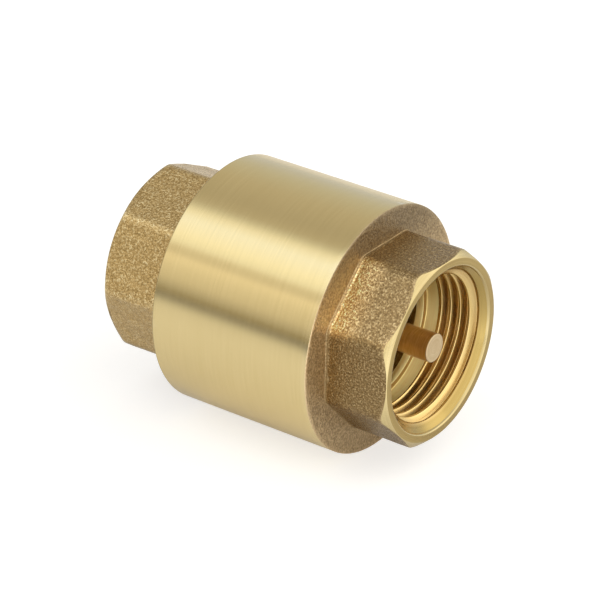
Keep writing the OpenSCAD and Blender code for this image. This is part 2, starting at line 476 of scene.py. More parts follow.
class Shader(Nodes):
    """Nodes of a new material."""

    def __init__(self, name):
        self.material = bpy.data.materials.new(name)
        super().__init__(self.material)

    def output(self, surface):
        self.node("ShaderNodeOutputMaterial", {0: surface})
        return self.material

    def finish(self, color, roughness, normal, metallic=1.0, extra=None):
        """Ends in a principled surface; returns the material."""
        inputs = {"Base Color": color, "Roughness": roughness, "Metallic": metallic,
                  "Normal": normal, **(extra or {})}
        return self.output(self.node("ShaderNodeBsdfPrincipled", inputs).outputs[0])


def shade(color, factor):
    return tuple(c * factor for c in color)


# ------------------------------------------------------------------ materials

MID = (0.3, 0.7)        # the spans most of the noise falls in
INNER = (0.35, 0.65)


def turned_brass(name, *, hi, lo, rough, line, strength, aniso=0.0, along=True, spread=0.02,
                 groove=0.0, edge=None):
    """Turned brass: lines round the axis (along), or concentric on a face.

    hi and lo: tones of the lines; line: their contrast; strength: of the bump; spread: of the
    roughness; groove: darkening of the thread's roots; edge: pointiness span of a painted
    highlight on convex edges.
    """
    t = Shader(name)
    if along:
        fine = t.noise((7000, 90, 90), detail=2, roughness=0.6)
        coarse = t.noise((2300, 60, 60), detail=3, roughness=0.55, offset=(3, 1, 2))
    else:
        fine = t.radial_noise(radial=7000.0, across=90.0, detail=2, roughness=0.6)
        coarse = t.radial_noise(radial=2100.0, across=60.0, detail=3, roughness=0.55)
    patches = t.noise((90, 160, 160), detail=3, roughness=0.5, offset=(5, 2, 7))
    lines = t.add(t.mul(fine, 0.6), t.mul(coarse, 0.4))
    color = t.mix(t.remap(lines, span=(0.36, 0.64), to=(0.5 - line, 0.5 + line)), lo, hi)
    color = t.mix(t.mul(t.remap(patches, span=MID), 0.10), color, shade(lo, 0.93))
    roughness = t.add(t.remap(coarse, span=MID, to=(rough - spread, rough + spread)),
                      t.remap(patches, span=MID, to=(-0.012, 0.012)))
    normal = t.bump(lines, distance=0.000006, strength=strength)
    extra = {}
    if aniso:
        tangent = t.node("ShaderNodeTangent", direction_type="RADIAL", axis="X")
        extra = {"Anisotropic": aniso, "Anisotropic Rotation": 0.25,
                 "Tangent": tangent.outputs[0]}
    edge_highlight = 0.6
    if groove:
        def by_distance(span):
            return t.remap(t.math("ABSOLUTE", t.axes[0]), span=span)

        # the thread's grooves are darkened towards their roots
        deep = t.mul(t.remap(t.radius, span=(0.01218, 0.0129)), by_distance((0.0272, 0.0269)))
        color = t.mix(t.mul(deep, groove), color, (0.50, 0.32, 0.13))
        # painted shade: the mouth of the bore is darker than the crests further in
        color = t.mix(t.mul(by_distance((0.0262, 0.0268)), 0.85), color, (0.40, 0.29, 0.095))
        edge_highlight = t.math("SUBTRACT", edge_highlight, t.mul(by_distance((0.0254, 0.0258)), edge_highlight))
    # painted highlight: convex edges found by pointiness are lightened towards pale gold
    if edge:
        color = t.mix(t.mul(t.edge(edge), edge_highlight), color, (1.0, 0.90, 0.66))
    return t.finish(color, roughness, normal, extra=extra)


def cast_brass(name, *, base, dark, light, grain, depth, rough, edge_gain=0.6, sparkle=0.5,
               underside_shade=(1.0, 1.0), low=(-0.62, -0.25), root_highlight=0.0, top_shade=1.0):
    """Shot-blasted brass casting: grain with painted glints, uneven tone, painted edge
    highlights.

    grain and depth: size and height of the grain in mm; underside_shade: painted shade, as
    grain
    contrast and tone, on faces whose normal z is below low, fading out across it;
    root_highlight:
    painted highlight towards the flange on the facet facing up and forwards; top_shade: painted
    shade, the tone of the highest part.
    """
    t = Shader(name)
    density = 1000.0 / grain
    fine = t.noise(density, detail=2, roughness=0.55)
    coarse = t.noise(density * 0.5, detail=3, roughness=0.6, offset=(3, 7, 1))
    patches = t.noise(160, detail=4, roughness=0.6, offset=(9, 2, 4))
    specks = t.noise(density * 1.7, detail=1, roughness=0.5, offset=(1, 5, 8))
    height = t.add(t.mul(fine, 0.62), t.mul(coarse, 0.38))
    facing = t.node("ShaderNodeNewGeometry").outputs["Normal"]
    _, normal_y, normal_z = t.node("ShaderNodeSeparateXYZ", {0: facing}).outputs

    # painted shade: on faces turned downwards the grain's contrast is lowered
    contrast = t.remap(normal_z, span=low, to=(underside_shade[0], 1.0))
    pits = t.remap(fine, span=(0.56, 0.36))
    color = t.mix(t.mul(pits, contrast), base, dark)
    # painted glints: the grain's tips are lightened
    tips = t.remap(height, span=(0.52, 0.64))
    color = t.mix(t.mul(t.mul(tips, sparkle), contrast), color, light)
    color = t.mix(t.mul(t.remap(patches, span=(0.32, 0.68)), 0.28), color, shade(base, 0.80))
    # painted highlight: convex edges found by pointiness are lightened
    edge = t.edge((0.505, 0.54))
    color = t.mix(t.mul(edge, edge_gain), color, light)

    # painted shade: faces turned downwards are darkened
    tone = t.remap(normal_z, span=low, to=(underside_shade[1], 1.0))
    # painted highlight: the facet facing up and forwards is lightened towards the flange
    if root_highlight:
        up_front = t.remap(t.math("SUBTRACT", normal_z, normal_y), span=(1.05, 1.32))
        near_flange = t.remap(
            t.axes[0], span=(X_FLANGE * MM, (X_FLANGE + 6.0) * MM), to=(root_highlight, 0.0))
        tone = t.mul(tone, t.add(1.0, t.mul(up_front, near_flange)))
    # painted shade: the highest part is darkened
    if top_shade < 1:
        tone = t.mul(tone, t.remap(t.axes[2], span=(0.008, 0.017), to=(1.0, top_shade)))
    grey = t.node("ShaderNodeCombineXYZ", {0: tone, 1: tone, 2: tone}).outputs[0]
    color = t.mix(1.0, color, grey, blend="MULTIPLY")

    roughness = t.add(t.remap(specks, span=MID, to=(rough - 0.10, rough + 0.10)),
                      t.mul(edge, -0.06))
    relief = t.add(t.mul(contrast, 0.75), 0.25)
    normal = t.bump(t.mul(height, relief), distance=depth * MM)
    normal = t.bump(t.mul(specks, relief), distance=depth * 0.25 * MM, normal=normal)
    return t.finish(color, roughness, normal)


def steel(name, base, rough, scale):
    t = Shader(name)
    lines = t.noise(scale, detail=2, roughness=0.6)
    patches = t.noise(400, detail=3, roughness=0.6)
    color = t.mix(t.remap(lines, span=INNER), shade(base, 0.86), shade(base, 1.08))
    roughness = t.remap(patches, span=MID, to=(rough - 0.06, rough + 0.08))
    return t.finish(color, roughness, t.bump(lines, distance=0.000004))


def stem_side():
    t = Shader("stem_drawn_brass")
    lines = t.noise((5200, 500, 500), detail=2, roughness=0.6)
    patches = t.noise((260, 600, 600), detail=3, roughness=0.6)
    color = t.mix(t.remap(lines, span=INNER), (0.66, 0.40, 0.15), (0.82, 0.54, 0.25))
    color = t.mix(t.remap(patches, span=(0.35, 0.7), to=(0.0, 0.4)), color, (0.52, 0.29, 0.10))
    roughness = t.remap(patches, span=MID, to=(0.28, 0.40))
    return t.finish(color, roughness, t.bump(lines, distance=0.000006))


def stem_end():
    t = Shader("stem_end_faced")
    lines = t.radial_noise(radial=5000.0, across=300.0, detail=2, roughness=0.6)
    patches = t.noise(700, detail=3, roughness=0.6)
    color = t.mix(t.remap(lines, span=MID), (0.54, 0.41, 0.245), (0.64, 0.52, 0.33))
    color = t.mix(t.remap(patches, span=(0.4, 0.8), to=(0.0, 0.35)), color, (0.50, 0.365, 0.21))
    roughness = t.remap(patches, span=MID, to=(0.42, 0.55))
    return t.finish(color, roughness, t.bump(lines, distance=0.000008), metallic=0.85)


def rubber():
    t = Shader("nitrile_rubber")
    grain = t.noise(3500, detail=3, roughness=0.6)
    patches = t.noise(250, detail=3, roughness=0.6)
    color = t.mix(t.remap(patches, span=MID), (0.018, 0.018, 0.020), (0.040, 0.040, 0.043))
    roughness = t.remap(grain, span=MID, to=(0.5, 0.72))
    return t.finish(color, roughness, t.bump(grain, distance=0.00001), metallic=0.0)


def fibre():
    t = Shader("pressed_fibre")
    fibres = t.noise((1200, 5200, 5200), detail=4, roughness=0.65)
    patches = t.noise(300, detail=3, roughness=0.6)
    color = t.mix(t.remap(fibres, span=MID), (0.22, 0.040, 0.022), (0.42, 0.10, 0.055))
    color = t.mix(t.remap(patches, span=(0.35, 0.7), to=(0.0, 0.5)), color, (0.30, 0.07, 0.04))
    return t.finish(color, 0.78, t.bump(fibres, distance=0.00002), metallic=0.0)


def plastic():
    t = Shader("moulded_acetal")
    grain = t.noise(2500, detail=2, roughness=0.6)
    patches = t.noise(200, detail=3, roughness=0.6)
    color = t.mix(t.remap(patches, span=MID), (0.78, 0.76, 0.70), (0.88, 0.87, 0.83))
    roughness = t.remap(grain, span=MID, to=(0.36, 0.5))
    return t.finish(
        color, roughness, t.bump(grain, distance=0.000008), metallic=0.0,
        extra={"Subsurface Weight": 0.08, "Subsurface Radius": (0.002, 0.002, 0.0015)})


# edge paints a highlight along the shell's convex rim edges
SHELL_BRASS = turned_brass(
    "shell_turned_brass", hi=(0.90, 0.745, 0.405), lo=(0.80, 0.645, 0.325),
    rough=0.20, aniso=0.9, line=0.22, strength=0.16, edge=(0.51, 0.56))
# painted shade: the end face's brass is made darker to offset the strong light from the outlet
# side
FACE_BRASS = turned_brass(
    "end_face_turned_brass", hi=(0.50, 0.375, 0.145), lo=(0.42, 0.30, 0.11),
    rough=0.28, along=False, line=0.5, strength=1.6)
CHAMFER_BRASS = turned_brass(
    "chamfer_turned_brass", hi=(0.63, 0.52, 0.275), lo=(0.55, 0.44, 0.22),
    rough=0.26, along=False, line=0.5, strength=1.6)
# edge paints highlights on the thread crests; the mouth gets painted shade
BORE_BRASS = turned_brass(
    "bore_turned_brass", hi=(0.88, 0.68, 0.31), lo=(0.79, 0.57, 0.22),
    rough=0.25, aniso=0.4, line=0.5, strength=1.8, spread=0.06, groove=0.45, edge=(0.53, 0.58))
# painted light: the smooth counterbore's brass is made over-bright to stand in for light
# reaching into the bore
COUNTERBORE_BRASS = turned_brass(
    "counterbore_turned_brass", hi=(1.0, 0.94, 0.53), lo=(0.96, 0.76, 0.34),
    rough=0.42, aniso=0.9, line=0.5, strength=3.0, spread=0.12)
# painted shade: the shoulder in the relief groove is given a dark brass
RELIEF_BRASS = turned_brass(
    "relief_groove_brass", hi=(0.42, 0.28, 0.12), lo=(0.34, 0.21, 0.085),
    rough=0.45, line=0.5, strength=2.0)
# painted light and shade on the castings: darker tops and undersides, and a lighter facet by
# the flange
OCTAGON_BRASS = cast_brass(
    "octagon_blasted_brass", base=(0.475, 0.325, 0.149), dark=(0.240, 0.155, 0.067),
    light=(0.92, 0.70, 0.38), grain=0.31, depth=0.18, rough=0.25, sparkle=0.95,
    root_highlight=1.4, top_shade=0.90, underside_shade=(1.0, 0.74), low=(0.05, 0.45))
FLANGE_BRASS = cast_brass(
    "flange_blasted_brass", base=(0.56, 0.42, 0.24), dark=(0.32, 0.225, 0.125),
    light=(0.84, 0.65, 0.40), grain=0.33, depth=0.17, rough=0.46, top_shade=0.52)
ROOT_BRASS = cast_brass(
    "root_blasted_brass", base=(0.44, 0.32, 0.165), dark=(0.27, 0.19, 0.10),
    light=(0.62, 0.46, 0.26), grain=0.31, depth=0.14, rough=0.4, edge_gain=0.0, root_highlight=0.9)
INLET_BRASS = cast_brass(
    "inlet_blasted_brass", base=(0.74, 0.525, 0.235), dark=(0.40, 0.265, 0.10),
    light=(1.0, 0.84, 0.50), grain=0.32, depth=0.20, rough=0.25, sparkle=1.0,
    underside_shade=(0.0, 0.60))
PRESSED_BRASS = cast_brass(
    "pressed_brass", base=(0.66, 0.46, 0.22), dark=(0.40, 0.26, 0.11),
    light=(0.86, 0.64, 0.34), grain=0.5, depth=0.012, rough=0.36, sparkle=0.35)
STEM_BRASS = stem_side()
STEM_END_BRASS = stem_end()
RUBBER = rubber()
FIBRE = fibre()
PLASTIC = plastic()
SPRING_STEEL = steel(
    "spring_wire_steel", base=(0.66, 0.66, 0.67), rough=0.22, scale=(900, 900, 900))
TURNED_STEEL = steel("turned_steel", base=(0.60, 0.60, 0.61), rough=0.28, scale=(7000, 90, 90))
RING_STEEL = steel("ring_steel", base=(0.50, 0.50, 0.52), rough=0.34, scale=(900, 900, 900))

# Material slots of the two castings; the inlet end has only the first five
SHELL, CAST, FACE, BORE, CHAMFER, FLANGE, RELIEF, COUNTERBORE, ROOT = range(9)

# ------------------------------------------------------------------ features of both castings


def groove_depth(phase):
    """Depth share of an internal 55 degree thread: 0 on the crest, 1 at the root."""
    from_crest = abs((phase + 0.5) % 1 - 0.5)
    if from_crest <= 0.085:
        return 0.0
    if from_crest >= 0.455:
        return 1.0
    return float(np.clip((from_crest - 0.09) / 0.333, 0.015, 0.965))


def end_face(skin, x_end, outward, octagon, face_radius, bevel_deg, seed):
    """Mouth edge, flat face and bevelled octagon corners; outward is the sign of x.

    Returns the x where the bevel meets the octagon and the wobble of that edge.
    """
    skin.ring(x_end - outward * 0.10, R_MOUTH - 0.10, CHAMFER)
    skin.ring(x_end - outward * 0.02, R_MOUTH - 0.02, CHAMFER)
    skin.ring(x_end, R_MOUTH + 0.06, CHAMFER)
    for r in (14.5, 14.8, 15.1, face_radius - 0.12):
        skin.ring(x_end, r, FACE)
    skin.ring(x_end - outward * 0.008, face_radius - 0.02, FACE)
    over = np.maximum(octagon - face_radius, 0)
    slope = outward * math.tan(math.radians(bevel_deg))
    for share in (0.12, 0.3, 0.5, 0.7, 0.88):
        skin.ring(x_end - over * slope * share - outward * 0.012,
                  face_radius + over * share - 0.004, CHAMFER)
    x_bevel = x_end - over * slope
    wobble = unevenness(skin.points_at(x_bevel, octagon), [(0.05, 0.7, seed)])
    return x_bevel, wobble


def threaded_mouth(skin, x_end, outward, x_inner, x_crest):
    """Pipe thread from x_inner to the countersink, then out to the mouth edge."""
    def radius_at(x, phase):
        start = outward * x_inner
        run_in = smooth_step(start, start + 0.7, outward * x)
        depth = (R_MAJOR - R_MINOR) * run_in * groove_depth(phase)
        sink = np.interp(outward * (x_end - x), *zip(*COUNTERSINK))
        return np.maximum(R_MINOR + depth, sink)

    skin.ring(x_inner, R_MINOR, COUNTERBORE if outward > 0 else BORE)
    x_lo, x_hi = sorted((x_inner, x_end - outward * COUNTERSINK[3][0]))
    skin.thread(x_lo, x_hi, x_crest, PIPE_PITCH, PIPE_PHASES, radius_at, BORE,
                ascending=outward > 0)
    for depth, r in COUNTERSINK[2::-1]:
        skin.ring(x_end - outward * depth, r, BORE if depth > 0.3 else CHAMFER)
    skin.close(CHAMFER)


# ------------------------------------------------------------------ outlet body


def outlet_flange(skin, octagon, x_crease):
    """Fillet at the octagon's foot, with a ragged edge, and the rough flange face."""
    jag = unevenness(skin.points_at(x_crease, octagon), FILLET_EDGE_ROUGHNESS)
    # the casting swells a little at 135 degrees, the upper front
    swell = 0.05 * np.clip(np.cos(skin.angles - math.radians(135)), 0, 1) ** 6
    rough = partial(rough_radius, layers=OUTLET_ROUGHNESS)
    skin.ring(x_crease - 0.05 + jag, octagon + swell, CAST, rough)
    skin.ring(x_crease - 0.14 + jag, octagon + swell + 0.01, ROOT, rough)
    fillet = 0.15
    foot = octagon + swell + 0.02
    for degrees in np.linspace(0, 90, 6)[1:]:
        cos, sin = math.cos(math.radians(degrees)), math.sin(math.radians(degrees))
        skin.ring(X_FLANGE + fillet * (1 - sin) + jag * (1 - sin) * 0.5,
                  foot + fillet * (1 - cos), ROOT, rough)
    for share in np.linspace(0, 1, 9)[1:]:
        skin.ring(X_FLANGE, (foot + fillet) * (1 - share) + (R_BODY - 0.14) * share, FLANGE,
                  partial(rough_x, layers=FLANGE_ROUGHNESS) if share < 1 else None)
    rim_wobble = unevenness(skin.points_at(0, R_BODY), [(0.02, 0.5, 19)])
    skin.ring(X_FLANGE - 0.03, R_BODY - 0.06, FLANGE)
    skin.ring(X_FLANGE - 0.09 + rim_wobble, R_BODY - 0.012, FLANGE)


def outlet_inside(skin):
    """From the rim at the low end through the bore to the foot of the pipe thread."""
    x_groove = SNAP_X0 - 0.05
    groove_width = 0.8
    r_chamber, r_guide = 16.5, 14.0
    r_groove = r_guide + 0.7
    x_step = X_OUTLET - 12.2
    x_shoulder = X_OUTLET - 10.8
    # (x, r, corner radius)
    section = [
        (X_RIM, R_PLUG + 0.43, 0), (X_RIM + 0.4, R_PLUG + 0.03, 0.1),
        (X_JOINT, R_PLUG + 0.03, 0.15), (X_JOINT, r_chamber, 0.2),
        (x_groove - 1.4, r_chamber, 0.4), (x_groove - 0.8, r_chamber - 0.6, 0.2),
        (x_groove - 0.8, r_guide, 0.12), (x_groove, r_guide, 0.08),
        (x_groove, r_groove, 0.08), (x_groove + groove_width, r_groove, 0.08),
        (x_groove + groove_width, r_guide, 0.08), (13.4, r_guide, 0.15),
        (13.4, 12.4, 0.15), (x_step, 12.4, 0.3), (x_step, 11.0, 0.12),
        (x_shoulder, 11.0, 0.14), (x_shoulder, R_MINOR, 0.12), (X_OUTLET - 8.62, R_MINOR)]
    for x, r in round_corners(section):
        if abs(x - x_shoulder) < 0.08 and 11.1 < r < 12.0:
            mat = RELIEF
        else:
            mat = COUNTERBORE if x > X_OUTLET - 12.3 else BORE
        skin.ring(x, r, mat)


def build_outlet():
    corner = math.radians(22.5)
    angles = polygon_angles(8, corner, flat_steps=22, corner_steps=12, corner_share=0.21)
    octagon = polygon_radius(angles, 8, OCTAGON_INRADIUS, 3.0, corner)
    skin = Skin(angles)
    x_bevel, wobble = end_face(skin, X_OUTLET, 1, octagon, OCTAGON_INRADIUS - 0.12,
                               bevel_deg=38, seed=11)
    skin.ring(x_bevel - 0.03 + wobble * 0.3, octagon - 0.05, CHAMFER)
    skin.ring(x_bevel - 0.12 + wobble, octagon - 0.008, CAST)
    x_crease = X_FLANGE + 0.50      # where the root fillet starts
    for share in np.linspace(0, 1, 26)[1:]:
        x = (x_bevel - 0.12) * (1 - share) + x_crease * share + wobble * (1 - share)
        skin.ring(x, octagon, CAST, partial(rough_radius, layers=OUTLET_ROUGHNESS))
    outlet_flange(skin, octagon, x_crease)

    # turned shell down to the bevelled rim
    skin.ring(X_FLANGE - 0.15, R_BODY, SHELL)
    for x in np.linspace(X_FLANGE - 1.5, X_RIM + 1.4, 20):
        skin.ring(x, R_BODY, SHELL)
    skin.ring(X_RIM + 0.30, R_BODY, SHELL)
    r_rim_inner = R_PLUG + 0.55
    rim = round_corners([(X_RIM + 1.2, R_BODY), (X_RIM + 0.20, R_BODY, 0.06),
                         (X_RIM, R_BODY - 0.20, 0.06), (X_RIM, r_rim_inner)], 4)
    skin.line(rim[1:-1], CHAMFER)
    skin.ring(X_RIM, r_rim_inner, FACE)

    outlet_inside(skin)
    # a crest at angle 12 degrees stands 4.45 mm in from the end face
    threaded_mouth(skin, X_OUTLET, 1, x_inner=X_OUTLET - 8.57,
                   x_crest=X_OUTLET - 4.45 - PIPE_PITCH * 12 / 360)
    outlet = skin.build("outlet_body_casting", [
        SHELL_BRASS, OCTAGON_BRASS, FACE_BRASS, BORE_BRASS, CHAMFER_BRASS, FLANGE_BRASS,
        RELIEF_BRASS, COUNTERBORE_BRASS, ROOT_BRASS])
    register(outlet, "outlet_body", "housing")


# ------------------------------------------------------------------ inlet end


def build_inlet():
    angles = polygon_angles(8, 0.0, flat_steps=24, corner_steps=10, corner_share=0.14)
    octagon = polygon_radius(angles, 8, OCTAGON_INRADIUS, 2.3, 0.0)
    skin = Skin(angles)
    x_bevel, wobble = end_face(skin, X_INLET, -1, octagon, OCTAGON_INRADIUS + 0.04,
                               bevel_deg=37, seed=21)
    skin.ring(x_bevel + 0.03, octagon - 0.06, FACE)
    skin.ring(x_bevel + 0.14 + wobble, octagon - 0.01, CAST)
    fillet = 0.45
    x_crease = X_RIM - fillet
    rough = partial(rough_radius, layers=INLET_ROUGHNESS)
    for share in np.linspace(0, 1, 30)[1:]:
        skin.ring((x_bevel + 0.14 + wobble) * (1 - share) + x_crease * share, octagon, CAST,
                  rough if share < 1 else None)
    for degrees in (30, 60, 90):
        cos, sin = math.cos(math.radians(degrees)), math.sin(math.radians(degrees))
        skin.ring(X_RIM - fillet * (1 - sin), octagon + fillet * (1 - cos), CAST)

    # plug, gasket face, valve seat and bore, (x, r, corner radius)
    section = [
        (X_RIM, 17.3), (X_RIM, 17.57, 0), (X_RIM + 0.4, R_PLUG, 0.1),
        (GASKET_X0, R_PLUG, 0.1), (GASKET_X0, 15.7, 0.15), (X_SEAT - 1, 15.7, 0.3),
        (X_SEAT - 1, 11.8, 0.25), (X_SEAT, 11.2, 0.12), (X_SEAT, 9.6, 0.12),
        (X_INLET + 12.2, 9.6, 0.4), (X_INLET + 11, 10.5, 0.25), (X_INLET + 11, R_MINOR, 0.2),
        (X_INLET + 9.9, R_MINOR)]
    skin.line(round_corners(section), BORE)
    threaded_mouth(skin, X_INLET, -1, x_inner=X_INLET + 9.8, x_crest=X_INLET + 3.3)
    inlet = skin.build("inlet_end_connector", [
        SHELL_BRASS, INLET_BRASS, FACE_BRASS, BORE_BRASS, CHAMFER_BRASS])
    register(inlet, "inlet_end", "housing")


# ------------------------------------------------------------------ poppet stem


def cap_ends(ob):
    """Fills the small holes left on the axis."""
    bm = bmesh.new()
    bm.from_mesh(ob.data)
    rims = [edge for edge in bm.edges if len(edge.link_faces) == 1]
    if rims:
        bmesh.ops.holes_fill(bm, edges=rims, sides=0)
        for face in bm.faces:
            face.smooth = True
        bmesh.ops.recalc_face_normals(bm, faces=bm.faces)
    bm.to_mesh(ob.data)
    bm.free()


def build_stem():
    side, end = 0, 1
    r_axis = 0.02
    bevel = 0.09
    x_shoulder = DISC_X1
    x_thread = WASHER_X0 + 0.3
    skin = Skin(even_angles(96))
    for r in (r_axis, 0.7, 1.3, 1.8):
        skin.ring(STEM_X1, r, end)
    skin.line(round_corners([
        (STEM_X1, 2.0), (STEM_X1, R_STEM - bevel, 0.04),
        (STEM_X1 - bevel, R_STEM, 0.04), (STEM_X1 - 0.2, R_STEM)], 4), end)
    for x in np.linspace(STEM_X1 - 1.5, x_shoulder + 1, 14):
        skin.ring(x, R_STEM, side)
    skin.line(round_corners([
        (x_shoulder + 0.5, R_STEM), (x_shoulder, R_STEM, 0.08),
        (x_shoulder, R_STEM_THREAD, 0.05), (x_shoulder - 0.4, R_STEM_THREAD)]), side)
    skin.ring(x_thread, R_STEM_THREAD, side)

    def radius_at(x, phase):
        from_crest = abs((phase + 0.5) % 1 - 0.5)
        groove = float(np.clip((from_crest - 0.06) / 0.34, 0, 1))
        end_bevel = R_STEM_THREAD - 0.42 + np.clip(x - STEM_X0, 0, 0.42)
        run_in = smooth_step(-x_thread, -x_thread + 0.6, -x)
        return np.minimum(R_STEM_THREAD - 0.40 * groove * run_in, end_bevel)

    skin.thread(STEM_X0 + 0.001, x_thread, 0.1, STEM_PITCH, STEM_PHASES, radius_at, side,
                ascending=False)
    for r in (1.5, 0.8, r_axis):
        skin.ring(STEM_X0, r, side)
    stem = skin.build("poppet_stem_rod", [STEM_BRASS, STEM_END_BRASS], sharp_deg=40)
    cap_ends(stem)
    register(stem, "poppet_stem", "poppet")


# ------------------------------------------------------------------ turned and moulded rings


def turned_piece(name, node, body, material, section, steps=160):
    """A ring with a closed section of (x, r, corner radius) points."""
    skin = Skin(even_angles(steps))
    skin.line(round_corners([section[-1], *section, section[0]], 4)[1:-1])
    skin.close()
    register(skin.build(name, [material], sharp_deg=50), node, body)


def build_turned_pieces():
    turned_piece("poppet_disc_turned", "poppet_disc", "poppet", BORE_BRASS, [
        (SEAL_X1, 2.05, 0.05), (DISC_X1, 2.05, 0.1), (DISC_X1, 4.90, 0.25),
        (SPRING_X0, 4.90, 0.1), (SPRING_X0, 11.5, 0.4), (SEAL_X1 + 1.2, 13.0, 0.35),
        (SEAL_X0 + 0.8, 13.0, 0.2), (SEAL_X0 + 0.8, 12.0, 0.15), (SEAL_X1, 12.0, 0.1)])
    turned_piece("seal_ring_moulded", "seal_ring", "poppet", RUBBER, [
        (SEAL_X0, 2.2, 0.1), (SEAL_X0, 11.5, 0.5), (SEAL_X0 + 0.45, 11.95, 0.3),
        (SEAL_X1, 11.95, 0.1), (SEAL_X1, 2.2, 0.1)])
    turned_piece(
        "seal_retainer_disc", "seal_retainer", "poppet", TURNED_STEEL, [
            (RETAINER_X0, 2.05, 0.1), (RETAINER_X0, 8.1, 0.2), (RETAINER_X0 + 0.3, 8.4, 0.15),
            (RETAINER_X1, 8.4, 0.08), (RETAINER_X1, 2.05, 0.05)])
    turned_piece("gasket_flat", "body_gasket", "housing", FIBRE, [
        (GASKET_X0, 15.9, 0.12), (GASKET_X0, 17.9, 0.12),
        (GASKET_X1, 17.9, 0.12), (GASKET_X1, 15.9, 0.12)])
    turned_piece("guide_bush_moulded", "guide_bush", "housing", PLASTIC, [
        (BUSH_X0, 2.45, 0.15), (BUSH_X0, 4.1, 0.18), (BUSH_X0 + 0.8, 4.1, 0.12),
        (BUSH_X0 + 0.8, 3.19, 0.05), (BUSH_X1, 3.19, 0.15), (BUSH_X1, 2.45, 0.15)], steps=96)


# ------------------------------------------------------------------ split rings


def split_ring(name, material, x0, x1, r_inner, r_outer, gap, gap_angle, ear=0.0):
    """A rectangular section with rounded edges, bent round X and open at gap_angle.

    gap is in radians; ear is how far the section grows inwards at both ends.
    """
    stations = 140
    bevel = 0.1
    section = []
    for x, r, start_deg in (
            (x0 + bevel, r_inner + bevel, 180), (x1 - bevel, r_inner + bevel, 270),
            (x1 - bevel, r_outer - bevel, 0), (x0 + bevel, r_outer - bevel, 90)):
        for step in range(4):
            angle = math.radians(start_deg + 30 * step)
            section.append((x + bevel * math.cos(angle), r + bevel * math.sin(angle)))
    x, r = np.array(section).T
    inner_side = r < (r_inner + r_outer) / 2
    points = []
    angles = np.linspace(gap_angle + gap / 2, gap_angle + TURN - gap / 2, stations)
    for i, angle in enumerate(angles):
        share = i / (stations - 1)
        near_end = max(0.0, 1 - min(share, 1 - share) / 0.045)
        near_end = near_end * near_end * (3 - 2 * near_end)
        grown = np.where(inner_side, r - ear * near_end, r)
        points.append(np.stack([x, grown * math.cos(angle), grown * math.sin(angle)], -1))
    return tube(name, np.concatenate(points), len(section), material)


def build_split_rings():
    snap = split_ring("snap_ring_spring_steel", RING_STEEL, SNAP_X0, SNAP_X1, 12.9, 14.6,
                      gap=2 * math.asin(2.5 / 14.0), gap_angle=math.radians(-90), ear=1.3)
    register(snap, "snap_ring", "housing")
    washer = split_ring("lock_washer_split", TURNED_STEEL, WASHER_X0, WASHER_X1, 2.12, 3.6,
                        gap=2 * math.asin(0.35 / 2.8), gap_angle=math.radians(90))
    register(washer, "lock_washer", "poppet")


# ------------------------------------------------------------------ retainer nut


def build_nut():
    r_hole, r_mouth, r_middle, r_face = 2.02, 2.27, 2.9, 3.4
    mouth_depth = 0.25
    angles = polygon_angles(6, 0.0, flat_steps=12, corner_steps=6, corner_share=0.16)
    hexagon = polygon_radius(angles, 6, 3.5, 0.25, 0.0)
    over = np.maximum(hexagon - r_face, 0)
    slope = 0.55
    skin = Skin(angles)
    skin.ring(NUT_X0 + mouth_depth, r_hole)
    for r in (r_mouth, r_middle, r_face):
        skin.ring(NUT_X0, r)
    for share in (0.3, 0.6, 0.92):
        skin.ring(NUT_X0 + over * slope * share, r_face + over * share)
    for share in np.linspace(0, 1, 7):
        skin.ring((NUT_X0 + over * slope + 0.03) * (1 - share) + (NUT_X1 - 0.08) * share,
                  hexagon)
    for r in (hexagon - 0.08, r_middle, r_mouth):
        skin.ring(NUT_X1, r)
    skin.ring(NUT_X1 - mouth_depth, r_hole)
    for x in np.linspace(NUT_X1 - 0.5, NUT_X0 + 0.5, 6):
        skin.ring(x, r_hole)
    skin.close()
    nut = skin.build("retainer_nut_hex", [BORE_BRASS], sharp_deg=30)
    register(nut, "retainer_nut", "poppet")


# ------------------------------------------------------------------ spring


def build_spring():
    wire, coil_diameter, turns = 0.9, 11.2, 5.5
    steps_per_turn, sides = 72, 14
    steps = int(turns * steps_per_turn)
    span = SPRING_X1 - SPRING_X0 - wire - 0.02
    # the first and last turns lie nearly closed; the rise between them eases in and out
    end_rise = (wire + 0.06) / span
    end_turn = 1 / turns
    along = np.linspace(0, 1, steps + 1)
    middle = np.clip((along - end_turn) / (1 - 2 * end_turn), 0, 1)
    eased = middle - 0.06 * np.sin(2 * np.pi * middle)
    rise = np.where(
        along < end_turn, end_rise * along / end_turn,
        np.where(along > 1 - end_turn, 1 - end_rise * (1 - along) / end_turn,
                 end_rise + (1 - 2 * end_rise) * eased))
    x = SPRING_X0 + wire / 2 + 0.01 + span * rise
    angle = 2 * np.pi * turns * along
    centres = np.stack([x, coil_diameter / 2 * np.sin(angle),
                        coil_diameter / 2 * np.cos(angle)], -1)
    tangent = np.gradient(centres, axis=0)
    tangent /= np.linalg.norm(tangent, axis=1, keepdims=True)
    radial = np.stack([np.zeros(steps + 1), np.sin(angle), np.cos(angle)], -1)
    binormal = np.cross(tangent, radial)
    points = []
    for i in range(steps + 1):
        for j in range(sides):
            turn = 2 * math.pi * j / sides
            point = centres[i] + wire / 2 * (
                math.cos(turn) * radial[i] + math.sin(turn) * binormal[i])
            point[0] = min(max(point[0], SPRING_X0), SPRING_X1)
            points.append(point)
    spring = tube("spring_coil", points, sides, SPRING_STEEL)
    register(spring, "spring", "housing")
    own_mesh(spring)


# ------------------------------------------------------------------ guide spider


